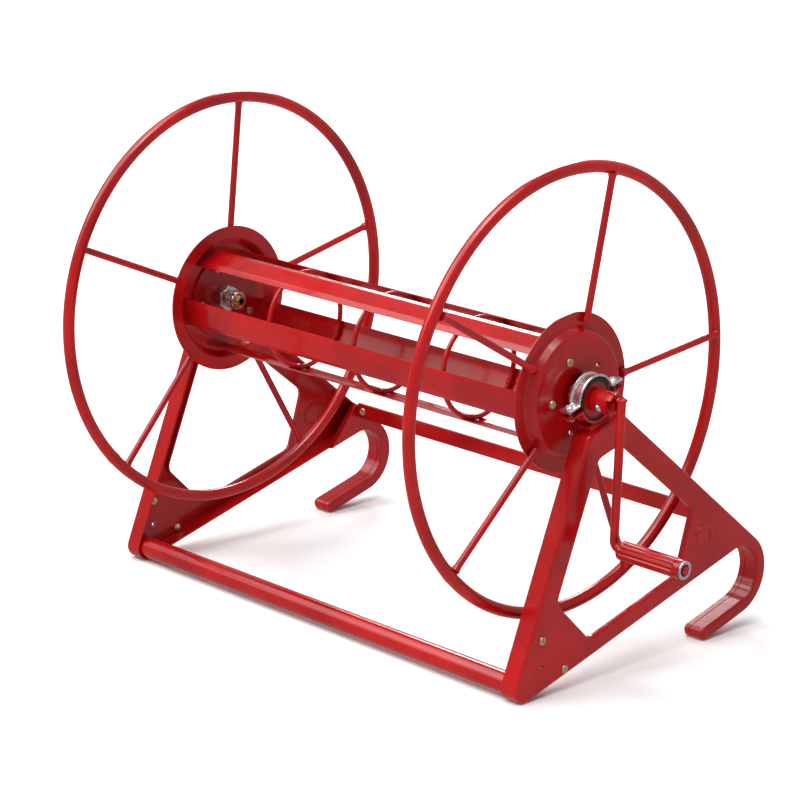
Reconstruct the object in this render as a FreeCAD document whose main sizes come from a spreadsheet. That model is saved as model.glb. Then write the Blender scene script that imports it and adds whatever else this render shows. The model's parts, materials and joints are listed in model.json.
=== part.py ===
import FreeCAD
import Part
import Sketcher
import math
import os
from FreeCAD import Placement, Rotation, Vector

# Garden hose reel on a folded-plate stand.  X runs along the drum axle with
# the crank at +X, -Y is the front and Z is up.  All lengths are millimetres.

doc = FreeCAD.newDocument("HoseReel")
sheet = doc.addObject("Spreadsheet::Sheet", "Sizes")

sizes = [
    ("drum_x", -46.65, "middle of the drum, across"),
    ("drum_y", -26.98, "axle, front to back"),
    ("drum_z", 324.04, "axle above the floor"),
    ("frame_tilt", 16.0, "side plates lean about the axle"),
    ("plate_outer", 331.0, "outer face of a side plate from the middle"),
    ("plate_depth", 23.0, "side plate with its folded edge"),
    ("plate_gauge", 2.0, "sheet of the side plate"),
    ("plate_bend", 3.4, "outside bend of the folded edge"),
    ("base_half", 216.5, "half of the straight base edge"),
    ("base_drop", 283.4, "base edge below the axle"),
    ("leg_angle", 53.6, "leg edge over the base edge"),
    ("apex_drop", 30.0, "top edge below the axle"),
    ("toe_radius", 16.0, "rounded front foot"),
    ("window_top_half", 19.0, "window, upper corners"),
    ("window_top_drop", 63.0, "window, upper corners"),
    ("window_mid_half", 117.0, "window, widest corners"),
    ("window_mid_drop", 195.0, "window, widest corners"),
    ("window_low_half", 77.0, "window, lower corners"),
    ("window_low_drop", 262.0, "window, lower corners"),
    ("window_corner", 13.0, "corner radius of the window"),
    ("window_lip", 6.0, "edge turned in around the window"),
    ("plate_hole", 2.9, "radius of the holes at the foot"),
    ("upper_hole_u", -149.6, "upper screw at the foot"),
    ("upper_hole_v", -223.8, "upper screw at the foot"),
    ("lower_hole_u", -123.9, "lower screw at the foot"),
    ("lower_hole_v", -274.8, "lower screw at the foot"),
    ("empty_hole_u", -156.3, "empty hole at the foot"),
    ("empty_hole_v", -255.0, "empty hole at the foot"),
    ("hook_inside", 35.0, "inside radius of the rear hook"),
    ("hook_outside", 50.0, "outside radius of the rear hook"),
    ("hook_tip", 104.0, "end of the lower arm of the hook"),
    ("tip_round", 6.0, "rounding of that end"),
    ("shell_depth", 9.0, "inner hook shell"),
    ("shell_rise", 5.0, "inner hook shell beyond the side plate"),
    ("shell_front", 131.0, "front edge of the hook shell on the base"),
    ("seam_deep", 0.7, "groove where the hook halves meet"),
    ("seam_wide", 0.9, "groove where the hook halves meet"),
    ("tube_radius", 12.55, "front tube"),
    ("tube_wall", 1.6, "front tube"),
    ("bracket_gauge", 2.5, "plate that holds the tube end"),
    ("bracket_front", -170.0, "bracket, lower front corner"),
    ("bracket_rear", -112.0, "bracket, lower rear corner"),
    ("bracket_low", -281.0, "bracket, lower edge"),
    ("bracket_high", -212.0, "bracket, upper edge"),
    ("bracket_toe_u", -184.0, "bracket, corner over the tube"),
    ("bracket_toe_v", -246.0, "bracket, corner over the tube"),
    ("bracket_top_half", 10.0, "half of the bracket's upper edge"),
    ("bar_height", 19.0, "rear crossbar"),
    ("bar_thick", 4.0, "rear crossbar"),
    ("bar_y", 248.0, "rear crossbar behind the axle"),
    ("bar_drop", 191.0, "rear crossbar below the axle"),
    ("bar_screw", 10.0, "crossbar screw from the end of the bar"),
    ("tab_length", 24.0, "tab that holds the crossbar"),
    ("tab_height", 13.5, "tab that holds the crossbar"),
    ("tab_foot", 4.0, "part of the tab that is welded to the hook shell"),
    ("disc_x", 282.0, "flat band of a drum disc"),
    ("disc_radius", 90.2, "drum disc"),
    ("disc_gauge", 1.6, "sheet of the disc"),
    ("step_outer", 74.5, "raised face of the disc starts"),
    ("step_inner", 68.0, "raised face of the disc ends"),
    ("step_rise", 10.5, "raised face of the disc"),
    ("step_round", 4.0, "rounding of the step"),
    ("disc_bore", 24.0, "hole for the axle"),
    ("disc_hole_circle", 42.5, "five holes in the raised face"),
    ("disc_hole", 3.3, "radius of these holes"),
    ("hole_phase", 42.0, "first of these holes"),
    ("rim_radius", 250.0, "wire rim, centre line"),
    ("rim_wire", 7.0, "wire rim, radius of the wire"),
    ("spoke_wire", 4.0, "spoke, radius of the wire"),
    ("spoke_inner", 79.0, "spoke starts on the disc"),
    ("spoke_phase_right", 79.0, "first spoke, crank side"),
    ("spoke_phase_left", 86.2, "first spoke, far side"),
    ("slat_radius", 62.6, "outer face of a drum slat"),
    ("slat_half", 10.6, "half of its flat"),
    ("slat_wing", 7.0, "folded wing of a slat"),
    ("slat_fold", 22.0, "angle of the wing"),
    ("slat_gauge", 1.2, "sheet of a slat"),
    ("slat_round", 8.0, "outside bend of a slat"),
    ("slat_phase", 46.0, "first slat"),
    ("hoop_radius", 58.3, "hoop under the slats, centre line"),
    ("hoop_wire", 3.0, "hoop, radius of the wire"),
    ("hoop_pitch", 144.0, "hoops along the drum"),
    ("flange_radius", 51.0, "axle flange inside the disc"),
    ("flange_thick", 3.0, "axle flange"),
    ("neck_radius", 14.0, "axle through the disc"),
    ("journal_radius", 20.0, "axle in its bearing"),
    ("bush_fit", 0.06, "running clearance on the radius"),
    ("bush_wall", 3.5, "bearing bush"),
    ("bush_edge", 1.5, "strap beyond the ends of the bush"),
    ("strap_wall", 3.0, "bearing strap"),
    ("strap_x", 314.0, "middle of a bearing"),
    ("strap_width", 16.0, "bearing strap along the axle"),
    ("rib_height", 2.4, "raised ends of the strap"),
    ("rib_width", 3.6, "raised ends of the strap"),
    ("seat_width", 40.0, "foot of the bearing on the side plate"),
    ("seat_height", 5.4, "foot of the bearing on the side plate"),
    ("ear_reach", 44.0, "ears of strap and seat"),
    ("ear_drop", 3.0, "half of the space between the ears"),
    ("ear_thick", 2.5, "ears of strap and seat"),
    ("ear_screw", 36.2, "clamp screws from the axle"),
    ("hub_radius", 13.0, "crank hub"),
    ("hub_bore", 9.0, "crank hub on the axle end"),
    ("hub_length", 29.5, "crank hub"),
    ("hub_cut", 24.0, "hub before it is cut away for the arm"),
    ("hub_cap", 6.0, "roof that is left of the hub, above the axle"),
    ("pin_radius", 2.9, "cross pin of the hub"),
    ("pin_head", 4.6, "cross pin of the hub"),
    ("pin_cap", 2.2, "head of the cross pin"),
    ("axle_stub", 6.5, "end of the axle that the crank arm is welded to"),
    ("pin_place", 12.2, "cross pin from the start of the hub"),
    ("pin_tilt", 26.0, "cross pin below the front"),
    ("arm_wire", 5.0, "crank arm, radius of the rod"),
    ("arm_x", 356.5, "crank arm from the middle"),
    ("arm_up", 7.2, "crank arm over the axle"),
    ("crank_throw", 160.2, "grip axis below the axle"),
    ("arm_bend", 9.0, "bend of the crank arm"),
    ("grip_start", 367.5, "grip from the middle"),
    ("grip_length", 88.2, "grip"),
    ("grip_radius", 11.0, "grip"),
    ("grip_recess", 6.8, "radius of the hollow end of the grip"),
    ("recess_deep", 5.0, "depth of the hollow end of the grip"),
    ("collar_deep", 3.6, "collar on the crank rod, inside that end"),
    ("collar_gauge", 1.6, "collar on the crank rod"),
    ("grip_fit", 0.08, "running clearance of the grip, on the radius"),
    ("washer_gauge", 1.8, "ring on the end of the grip"),
    ("washer_radius", 10.4, "ring on the end of the grip"),
    ("flute_radius", 1.8, "flutes of the grip"),
    ("flute_rise", 0.6, "flute centres beyond the grip"),
    ("flute_end", 10.0, "plain part of the grip"),
    ("water_bore", 4.0, "water way of the far axle"),
    ("tail_radius", 8.0, "end of the far axle, inside the swivel"),
    ("tail_length", 14.0, "end of the far axle beyond the side plate"),
    ("fitting_nut", 16.5, "nut of the hose fitting, to the corners"),
    ("fitting_nut_height", 9.0, "nut of the hose fitting"),
    ("lock_radius", 11.5, "ring on the hose fitting"),
    ("lock_bore", 8.6, "ring on the hose fitting"),
    ("lock_length", 12.0, "ring on the hose fitting"),
    ("nipple_radius", 6.9, "pipe of the hose fitting"),
    ("nipple_lip", 8.2, "thread that holds the ring"),
    ("nipple_shoulder", 14.0, "thread starts"),
    ("nipple_thread_end", 27.0, "thread ends"),
    ("nipple_length", 31.0, "pipe of the hose fitting"),
    ("nipple_end", 6.6, "mouth of the hose fitting"),
    ("inlet_radius", 15.0, "swivel body of the inlet"),
    ("inlet_length", 40.4, "swivel body of the inlet"),
    ("inlet_leg", 9.0, "elbow of the inlet"),
    ("inlet_drop", 40.0, "elbow of the inlet"),
    ("inlet_nut_across", 14.0, "nut under the elbow, to the corners"),
    ("inlet_nut_height", 11.0, "nut under the elbow"),
    ("inlet_bore", 5.0, "water way of the inlet"),
    ("barb_radius", 8.6, "largest barb of the inlet tail"),
    ("barb_root", 6.4, "inlet tail between its barbs"),
    ("barb_end", 22.0, "end of the inlet tail"),
    ("screw_shank", 2.4, "small screws"),
    ("screw_head", 4.8, "small screws"),
    ("screw_cap", 2.6, "height of a screw head"),
    ("nut_across", 4.9, "nut, to the corners"),
    ("nut_height", 3.6, "nut"),
    ("screw_spare", 6.0, "screw beyond the sheets it holds"),
    ("screw_gap", 0.3, "hole around a screw, on the radius"),
    ("sheet_gap", 0.2, "gap between parts that are welded"),
    ("touch_gap", 0.02, "gap between parts that touch"),
    ("drill", 60.0, "length of a drill or a cutting block"),
]
row = 1
for alias, value, note in sizes:
    sheet.set("A%d" % row, alias)
    sheet.set("B%d" % row, repr(value))
    sheet.set("C%d" % row, note)
    sheet.setAlias("B%d" % row, alias)
    row += 1
doc.recompute()


class Size:
    # a number together with the sheet formula that gives it

    def __init__(self, value, text):
        self.value = float(value)
        self.text = text

    def combine(self, other, sign, flip=False):
        other = asSize(other)
        a, b = (other, self) if flip else (self, other)
        value = {
            "+": a.value + b.value,
            "-": a.value - b.value,
            "*": a.value * b.value,
        }[sign]
        return Size(value, "(%s %s %s)" % (a.text, sign, b.text))

    def __add__(self, other):
        return self.combine(other, "+")

    def __radd__(self, other):
        return self.combine(other, "+", True)

    def __sub__(self, other):
        return self.combine(other, "-")

    def __rsub__(self, other):
        return self.combine(other, "-", True)

    def __mul__(self, other):
        return self.combine(other, "*")

    def __rmul__(self, other):
        return self.combine(other, "*", True)

    def __truediv__(self, other):
        other = asSize(other)
        return Size(self.value / other.value, "(%s / %s)" % (self.text, other.text))

    def __neg__(self):
        return Size(-self.value, "(-1 * %s)" % self.text)


def asSize(number):
    if isinstance(number, Size):
        return number
    return Size(number, "(%.6f)" % number)


def size(name):
    return Size(sheet.get(name), "Sizes.%s" % name)


def root(number):
    return Size(math.sqrt(number.value), "sqrt(%s)" % number.text)


def sine(angle):
    angle = asSize(angle)
    return Size(math.sin(math.radians(angle.value)), "sin(%s * 1 deg)" % angle.text)


def cosine(angle):
    angle = asSize(angle)
    return Size(math.cos(math.radians(angle.value)), "cos(%s * 1 deg)" % angle.text)


def polar(radius, angle):
    return radius * cosine(angle), radius * sine(angle)


def bind(item, field, number):
    item.setExpression(field, asSize(number).text)


zero = asSize(0)
drumX, drumY, drumZ = size("drum_x"), size("drum_y"), size("drum_z")
tilt = size("frame_tilt")
leg = size("leg_angle")
shankBore = size("plate_hole")
screwGap, sheetGap, touchGap = size("screw_gap"), size("sheet_gap"), size("touch_gap")
drill = size("drill")
plateOuter, plateDepth, gauge = size("plate_outer"), size("plate_depth"), size("plate_gauge")
plateInner = plateOuter - plateDepth


# ---- placing ----------------------------------------------------------------

def place(item, x=0, y=0, z=0, turn=None):
    # local position of one member of a node
    item.Placement = Placement(Vector(0, 0, 0), turn or Rotation())
    for axis, number in zip("xyz", (x, y, z)):
        bind(item, ".Placement.Base.%s" % axis, number)


def seat(item, label, tilted=False, x=0, dy=0, dz=0):
    # node on the drum axle; tilted nodes lean with the side plates
    item.Label = label
    item.Placement = Placement(Vector(0, 0, 0), Rotation(Vector(1, 0, 0), tilt.value if tilted else 0))
    bind(item, ".Placement.Base.x", drumX + x)
    bind(item, ".Placement.Base.y", drumY + dy)
    bind(item, ".Placement.Base.z", drumZ + dz)
    if tilted:
        bind(item, ".Placement.Rotation.Angle", tilt)
    nodes.append(item)
    return item


nodes = []
alongX = Rotation(Vector(0, 1, 0), 90)


# ---- primitives -------------------------------------------------------------

def cylinder(radius, height, x=0, y=0, z=0, turn=alongX):
    item = doc.addObject("Part::Cylinder", "Cylinder")
    bind(item, "Radius", radius)
    bind(item, "Height", height)
    place(item, x, y, z, turn)
    return item


def ring(radius, wire, x=0):
    item = doc.addObject("Part::Torus", "Ring")
    bind(item, "Radius1", radius)
    bind(item, "Radius2", wire)
    place(item, x, 0, 0, alongX)
    return item


def box(length, width, height, x, y, z, turn=None):
    item = doc.addObject("Part::Box", "Box")
    bind(item, "Length", length)
    bind(item, "Width", width)
    bind(item, "Height", height)
    place(item, x, y, z, turn)
    return item


def cut(base, tool):
    item = doc.addObject("Part::Cut", "Cut")
    item.Base = base
    item.Tool = tool
    return item


def fuse(*members):
    item = doc.addObject("Part::MultiFuse", "Fuse")
    item.Shapes = list(members)
    item.Refine = True
    return item


def group(members):
    item = doc.addObject("Part::Compound", "Group")
    item.Links = list(members)
    return item


def screw(length, x, y, z, turn, head=None, shank=None):
    # head above the origin, shank below it, both on the turned Z axis
    head = head or size("screw_head")
    shank = shank or size("screw_shank")
    cap = cylinder(head, size("screw_cap"), 0, 0, 0, Rotation())
    stem = cylinder(shank, length, 0, 0, -length, Rotation())
    item = fuse(cap, stem)
    place(item, x, y, z, turn)
    return item


def nut(x, y, z, turn, bore=None, across=None, height=None):
    bore = bore or size("screw_shank")
    height = height or size("nut_height")
    hexagon = doc.addObject("Part::Prism", "Hexagon")
    hexagon.Polygon = 6
    bind(hexagon, "Circumradius", across or size("nut_across"))
    bind(hexagon, "Height", height)
    item = cut(hexagon, cylinder(bore, height + 2, 0, 0, -1, Rotation()))
    place(item, x, y, z, turn)
    return item


# ---- sketched bodies --------------------------------------------------------

def newBody(name):
    return doc.addObject("PartDesign::Body", name)


def plane(body, role):
    for feature in body.Origin.OriginFeatures:
        if feature.Role == role:
            return feature


def sketchOn(body, role, name, offset=None):
    sketch = body.newObject("Sketcher::SketchObject", name)
    sketch.AttachmentSupport = [(plane(body, role), "")]
    sketch.MapMode = "FlatFace"
    if offset is not None:
        bind(sketch, ".AttachmentOffset.Base.z", offset)
    return sketch


def pin(sketch, edge, point, axis, number):
    # one coordinate of a sketch point, measured from the sketch origin
    kind = "DistanceX" if axis == 0 else "DistanceY"
    if abs(number.value) < 1e-9:
        sketch.addConstraint(Sketcher.Constraint("PointOnObject", edge, point, -2 if axis == 0 else -1))
        return
    if number.value > 0:
        at = sketch.addConstraint(Sketcher.Constraint(kind, -1, 1, edge, point, number.value))
        sketch.setExpression("Constraints[%d]" % at, number.text)
    else:
        at = sketch.addConstraint(Sketcher.Constraint(kind, edge, point, -1, 1, -number.value))
        sketch.setExpression("Constraints[%d]" % at, (-number).text)


def outline(sketch, points):
    # closed loop; a point is (x, y) for a line or (x, y, cx, cy, turn) for an
    # arc about (cx, cy) ending there, turn +1 anticlockwise and -1 clockwise
    loop = [tuple(asSize(n) for n in p[:4]) + tuple(p[4:]) for p in points]
    edges = []
    for index, target in enumerate(loop):
        source = loop[index - 1]
        a = Vector(source[0].value, source[1].value, 0)
        b = Vector(target[0].value, target[1].value, 0)
        if len(target) == 2:
            edge = sketch.addGeometry(Part.LineSegment(a, b), False)
            edges.append((edge, 1, 2))
            continue
        centre = Vector(target[2].value, target[3].value, 0)
        circle = Part.Circle(centre, Vector(0, 0, 1), (b - centre).Length)
        first, last = (a, b) if target[4] > 0 else (b, a)
        angles = [math.atan2(p.y - centre.y, p.x - centre.x) for p in (first, last)]
        if angles[1] < angles[0]:
            angles[1] += 2 * math.pi
        edge = sketch.addGeometry(Part.ArcOfCircle(circle, angles[0], angles[1]), False)
        edges.append((edge, 1, 2) if target[4] > 0 else (edge, 2, 1))
    for index, (edge, start, end) in enumerate(edges):
        after = edges[(index + 1) % len(edges)]
        sketch.addConstraint(Sketcher.Constraint("Coincident", edge, end, after[0], after[1]))
    for (edge, start, end), target in zip(edges, loop):
        pin(sketch, edge, end, 0, target[0])
        pin(sketch, edge, end, 1, target[1])
    for index, target in enumerate(loop):
        if len(target) > 2:
            chord = [target[k].value - loop[index - 1][k].value for k in (0, 1)]
            axis = 0 if abs(chord[1]) >= abs(chord[0]) else 1
            pin(sketch, edges[index][0], 3, axis, target[2 + axis])


def circle(sketch, radius, x=0, y=0):
    x, y, radius = asSize(x), asSize(y), asSize(radius)
    hole = Part.Circle(Vector(x.value, y.value, 0), Vector(0, 0, 1), radius.value)
    edge = sketch.addGeometry(hole, False)
    at = sketch.addConstraint(Sketcher.Constraint("Radius", edge, radius.value))
    sketch.setExpression("Constraints[%d]" % at, radius.text)
    pin(sketch, edge, 3, 0, x)
    pin(sketch, edge, 3, 1, y)


def pad(body, sketch, length):
    feature = body.newObject("PartDesign::Pad", "Pad")
    feature.Profile = sketch
    bind(feature, "Length", length)
    doc.recompute()
    return feature


def pocket(body, sketch, length):
    before = body.Shape.Volume
    feature = body.newObject("PartDesign::Pocket", "Pocket")
    feature.Profile = sketch
    bind(feature, "Length", length)
    doc.recompute()
    if not body.Shape.Volume < before - 1e-3:
        feature.Reversed = True
        doc.recompute()
    return feature


def revolve(name, points, role="XZ_Plane"):
    # closed profile of (along X, radius) points turned about the X axis
    body = newBody(name)
    sketch = sketchOn(body, role, name + "Profile")
    outline(sketch, points)
    feature = body.newObject("PartDesign::Revolution", "Revolution")
    feature.Profile = sketch
    feature.ReferenceAxis = (sketch, ["H_Axis"])
    feature.Angle = 360.0
    doc.recompute()
    return body


def roundEdges(body, radius, wanted):
    # fillet on the edges that the test accepts
    names = []
    for index, edge in enumerate(body.Shape.Edges):
        if wanted(edge):
            names.append("Edge%d" % (index + 1))
    base = body.Tip
    feature = body.newObject("PartDesign::Fillet", "Fillet")
    feature.Base = (base, names)
    bind(feature, "Radius", radius)
    doc.recompute()
    return feature


def runsAlongX(edge):
    a, b = edge.Vertexes[0].Point, edge.Vertexes[-1].Point
    return abs(a.x - b.x) > 1 and abs(a.y - b.y) + abs(a.z - b.z) < 1e-6


def onRing(edge, radius):
    # circle about the axle, within a sheet's thickness of the given radius
    return hasattr(edge.Curve, "Radius") and abs(edge.Curve.Radius - radius.value) < 1


def near(edge, u, v):
    p = edge.Vertexes[0].Point
    return math.hypot(p.y - asSize(u).value, p.z - asSize(v).value) < 0.5


# ---- side plates ------------------------------------------------------------

baseHalf, baseDrop = size("base_half"), size("base_drop")
hookIn, hookOut = size("hook_inside"), size("hook_outside")
hookU = baseHalf + (hookIn * cosine(leg) - hookOut) / sine(leg)
hookV = -baseDrop - hookIn
armTop, armLow = hookV - hookIn, hookV - hookOut
tipU = size("hook_tip")
tangentU, tangentV = hookU + hookOut * sine(leg), hookV + hookOut * cosine(leg)
apexDrop = size("apex_drop")
apexHalf = baseHalf - (baseDrop - apexDrop) * cosine(leg) / sine(leg)
# how far the window corners move outwards for one unit of wall
wallShift = [
    (0.5677, -1.0),
    (1.2007, 0.0603),
    (0.5030, 1.0),
]
toeRadius = size("toe_radius")
toeU = -baseHalf + toeRadius * (1 + cosine(leg)) / sine(leg)
toeV = -baseDrop + toeRadius
holeSpots = [(size(name + "_hole_u"), size(name + "_hole_v")) for name in ("upper", "lower", "empty")]
shellDepth, shellRise, shellFront = size("shell_depth"), size("shell_rise"), size("shell_front")
shellRun = (baseHalf - shellFront) * sine(leg)
meetU = shellFront + shellRun * sine(leg)
meetV = -baseDrop + shellRun * cosine(leg)
seamDeep, seamWide = size("seam_deep"), size("seam_wide")
tipRound = size("tip_round")


def hookTip(inset):
    # rounded end of the lower hook arm, as part of an outline
    left, right = tipU + inset, tipU + tipRound
    return [
        (right, armTop - inset),
        (left, armTop - tipRound, right, armTop - tipRound, 1),
        (left, armLow + tipRound),
        (right, armLow + inset, right, armLow + tipRound, 1),
    ]


def sidePlate(label, side):
    # dish of sheet metal, open towards the drum, with window and rear hook
    body = newBody(label + "Body")
    sketch = sketchOn(body, "YZ_Plane", label + "Outline")
    outline(sketch, [
        (toeU, -baseDrop, toeU, toeV, 1),
        (hookU, -baseDrop),
        (hookU, armTop, hookU, hookV, -1),
    ] + hookTip(zero) + [
        (hookU, armLow),
        (tangentU, tangentV, hookU, hookV, 1),
        (apexHalf, -apexDrop),
        (-apexHalf, -apexDrop),
        (toeU - toeRadius * sine(leg), toeV + toeRadius * cosine(leg)),
    ])
    pad(body, sketch, plateDepth)
    window = sketchOn(body, "YZ_Plane", label + "Window", -1)
    corners = []
    for name in ("low", "mid", "top"):
        corners.append((size("window_%s_half" % name), -size("window_%s_drop" % name)))
    outline(window, corners + [(-u, v) for u, v in reversed(corners)])
    pocket(body, window, plateDepth + 2)
    roundEdges(body, size("window_corner"), lambda e: runsAlongX(e) and any(
        near(e, s * u.value, v) for s in (-1, 1) for u, v in corners))
    roundEdges(body, tipRound, lambda e: runsAlongX(e) and (
        near(e, apexHalf, -apexDrop) or near(e, -apexHalf, -apexDrop)))
    faceX = plateDepth.value if side > 0 else 0.0
    roundEdges(body, size("plate_bend"), lambda e: abs(e.BoundBox.XMin - faceX) < 1e-4
               and abs(e.BoundBox.XMax - faceX) < 1e-4)
    cavity = sketchOn(body, "YZ_Plane", label + "Cavity", (plateDepth + 1) if side < 0 else -1)
    innerToe = toeRadius - gauge
    innerApex = apexHalf + gauge * (cosine(leg) - 1) / sine(leg)
    inset = [
        (toeU, -baseDrop + gauge, toeU, toeV, 1),
        (hookU, -baseDrop + gauge),
        (hookU, armTop - gauge, hookU, hookV, -1),
    ] + hookTip(gauge) + [
        (hookU, armLow + gauge),
        (tangentU - gauge * sine(leg), tangentV - gauge * cosine(leg), hookU, hookV, 1),
        (innerApex, -apexDrop - gauge),
        (-innerApex, -apexDrop - gauge),
        (toeU - innerToe * sine(leg), toeV + innerToe * cosine(leg)),
    ]
    outline(cavity, inset)
    walls = [(u + gauge * f, v + gauge * g) for (u, v), (f, g) in zip(corners, wallShift)]
    openFace = plateDepth if side < 0 else zero
    outline(cavity, walls + [(-u, v) for u, v in reversed(walls)])
    pocket(body, cavity, plateDepth - gauge + 1)
    roundEdges(body, size("window_corner") + gauge, lambda e: runsAlongX(e) and any(
        near(e, s * u.value, v) for s in (-1, 1) for u, v in walls))
    lowered = sketchOn(body, "YZ_Plane", label + "Lip", openFace)
    rim = [(u + 2 * gauge * f, v + 2 * gauge * g) for (u, v), (f, g) in zip(corners, wallShift)]
    outline(lowered, rim + [(-u, v) for u, v in reversed(rim)])
    pocket(body, lowered, plateDepth - size("window_lip"))
    seated = sketchOn(body, "YZ_Plane", label + "HookSeat", openFace)
    beyond = 1.2 * shellRun
    outline(seated, [
        (shellFront, -baseDrop),
        (shellFront, hookV),
        (tipU - tipRound, hookV),
        (tipU - tipRound, armLow - hookIn),
        (baseHalf + 3 * hookOut, armLow - hookIn),
        (baseHalf + 3 * hookOut, -baseDrop + beyond * cosine(leg)),
        (shellFront + beyond * sine(leg), -baseDrop + beyond * cosine(leg)),
    ])
    pocket(body, seated, shellDepth - shellRise)
    holes = sketchOn(body, "YZ_Plane", label + "Holes", (plateDepth - 3) if side > 0 else -1)
    for u, v in holeSpots:
        circle(holes, shankBore, u, v)
    pocket(body, holes, 4)
    return seat(body, label, True, plateInner if side > 0 else -plateOuter)


for label, side in (("side_plate_right", 1), ("side_plate_left", -1)):
    sidePlate(label, side)


# ---- rear hook shells -------------------------------------------------------

def shellOutline(sketch, inset):
    # contour of the hook half, moved inwards all round
    forward = inset * (1 + sine(leg)) / cosine(leg)
    outline(sketch, [
        (shellFront + forward, -baseDrop + inset),
        (hookU, -baseDrop + inset),
        (hookU, armTop - inset, hookU, hookV, -1),
    ] + hookTip(inset) + [
        (hookU, armLow + inset),
        (tangentU - inset * sine(leg), tangentV - inset * cosine(leg), hookU, hookV, 1),
        (meetU + inset * (cosine(leg) - sine(leg)), meetV - inset * (sine(leg) + cosine(leg))),
    ])


def hookShell(label, side):
    # inner half of the hook, a dish whose mouth meets the side plate in a groove
    body = newBody(label + "Body")
    outer = sketchOn(body, "YZ_Plane", label + "Outline", zero if side > 0 else seamWide)
    shellOutline(outer, zero)
    pad(body, outer, shellDepth - seamWide)
    faceX = 0.0 if side > 0 else shellDepth.value
    roundEdges(body, 0.7 * gauge, lambda e: abs(e.BoundBox.XMin - faceX) < 1e-4
               and abs(e.BoundBox.XMax - faceX) < 1e-4)
    neck = sketchOn(body, "YZ_Plane", label + "Seam", gauge if side > 0 else zero)
    shellOutline(neck, seamDeep)
    pad(body, neck, shellDepth - gauge)
    hollow = sketchOn(body, "YZ_Plane", label + "Hollow", shellDepth if side > 0 else zero)
    shellOutline(hollow, gauge)
    pocket(body, hollow, shellDepth - gauge)
    start = plateInner - shellRise if side > 0 else shellRise - plateInner - shellDepth
    return seat(body, label, True, start)


for label, side in (("hook_shell_right", 1), ("hook_shell_left", -1)):
    hookShell(label, side)


# ---- tubes and bars of the stand --------------------------------------------

webInside = plateOuter - gauge
tubeRadius = size("tube_radius")
tubeHalf = webInside - sheetGap
tube = cut(
    cylinder(tubeRadius, 2 * tubeHalf, -tubeHalf, toeU, toeV),
    cylinder(tubeRadius - size("tube_wall"), 2 * tubeHalf + 2, -tubeHalf - 1, toeU, toeV))
seat(tube, "front_tube", True)

bracketGauge = size("bracket_gauge")


def tubeBracket(label, side):
    # triangular plate between the tube and the two frame screws
    body = newBody(label + "Body")
    sketch = sketchOn(body, "YZ_Plane", label + "Outline")
    ledge, ledgeHalf = size("bracket_high"), size("bracket_top_half")
    ledgeU = holeSpots[0][0]
    outline(sketch, [
        (size("bracket_front"), size("bracket_low")),
        (size("bracket_rear"), size("bracket_low")),
        (ledgeU + ledgeHalf, ledge),
        (ledgeU - ledgeHalf, ledge),
        (size("bracket_toe_u"), size("bracket_toe_v")),
    ])
    pad(body, sketch, bracketGauge)
    holes = sketchOn(body, "YZ_Plane", label + "Holes", -1)
    circle(holes, tubeRadius + screwGap, toeU, toeV)
    pocket(body, holes, bracketGauge + 2)
    bores = sketchOn(body, "YZ_Plane", label + "Bores", -1)
    for u, v in holeSpots:
        circle(bores, shankBore, u, v)
    pocket(body, bores, bracketGauge + 2)
    return seat(body, label, True, webInside - bracketGauge if side > 0 else -webInside)


for label, side in (("tube_bracket_right", 1), ("tube_bracket_left", -1)):
    tubeBracket(label, side)

barY, barZ = size("bar_y"), -size("bar_drop")
barHeight, barThick = size("bar_height"), size("bar_thick")
barHalf = plateInner - shellRise - 2 * sheetGap
screwBore = size("screw_shank") + screwGap
barSpots = barHalf - size("bar_screw")
forward = Rotation(Vector(1, 0, 0), 90)
bar = cut(
    box(2 * barHalf, barThick, barHeight, -barHalf, 0, -0.5 * barHeight),
    group([cylinder(screwBore, drill, s * barSpots, 0.5 * drill, 0, forward) for s in (-1, 1)]))
seat(bar, "rear_crossbar", False, 0, barY, barZ)


def crossbarTab(label, side):
    # angle welded to the hook shell that carries the end of the crossbar
    inner = barHalf - size("tab_length")
    outer, high, low = barHalf + sheetGap, size("tab_height"), 0.5 * (gauge - barHeight)
    flat = box(outer - inner, gauge, high, inner, barThick, low)
    foot = box(gauge, size("tab_foot"), high, outer - gauge, barThick, low)
    bore = cylinder(screwBore, drill, barSpots, 0.5 * drill, 0, forward)
    tab = cut(fuse(flat, foot), bore)
    if side < 0:
        mirror = doc.addObject("Part::Mirroring", "Mirror")
        mirror.Source = tab
        mirror.Normal = Vector(1, 0, 0)
        tab = group([mirror])
    return seat(tab, label, False, 0, barY, barZ)


for label, side in (("crossbar_tab_right", 1), ("crossbar_tab_left", -1)):
    crossbarTab(label, side)

spare = size("screw_spare")
seat(group([screw(barThick + gauge + spare, s * barSpots, 0, 0, forward) for s in (-1, 1)]),
     "crossbar_screws", False, 0, barY, barZ)
seat(group([nut(s * barSpots, barThick + gauge + size("nut_height"), 0, forward) for s in (-1, 1)]),
     "crossbar_nuts", False, 0, barY, barZ)

screws, nuts = [], []
for side in (-1, 1):
    for u, v in holeSpots[:2]:
        turn = Rotation(Vector(0, 1, 0), 90 * side)
        screws.append(screw(gauge + bracketGauge + spare, side * plateOuter, u, v, turn))
        inside = webInside - bracketGauge - size("nut_height")
        nuts.append(nut(side * inside, u, v, turn))
seat(group(screws), "frame_screws", True)
seat(group(nuts), "frame_nuts", True)

# ---- drum -------------------------------------------------------------------

discX, discRadius, discGauge = size("disc_x"), size("disc_radius"), size("disc_gauge")
stepOuter, stepInner, stepRise = size("step_outer"), size("step_inner"), size("step_rise")
faceIn = discX + stepRise
faceOut = faceIn + discGauge
holeCircle, phase = size("disc_hole_circle"), size("hole_phase")


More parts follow.
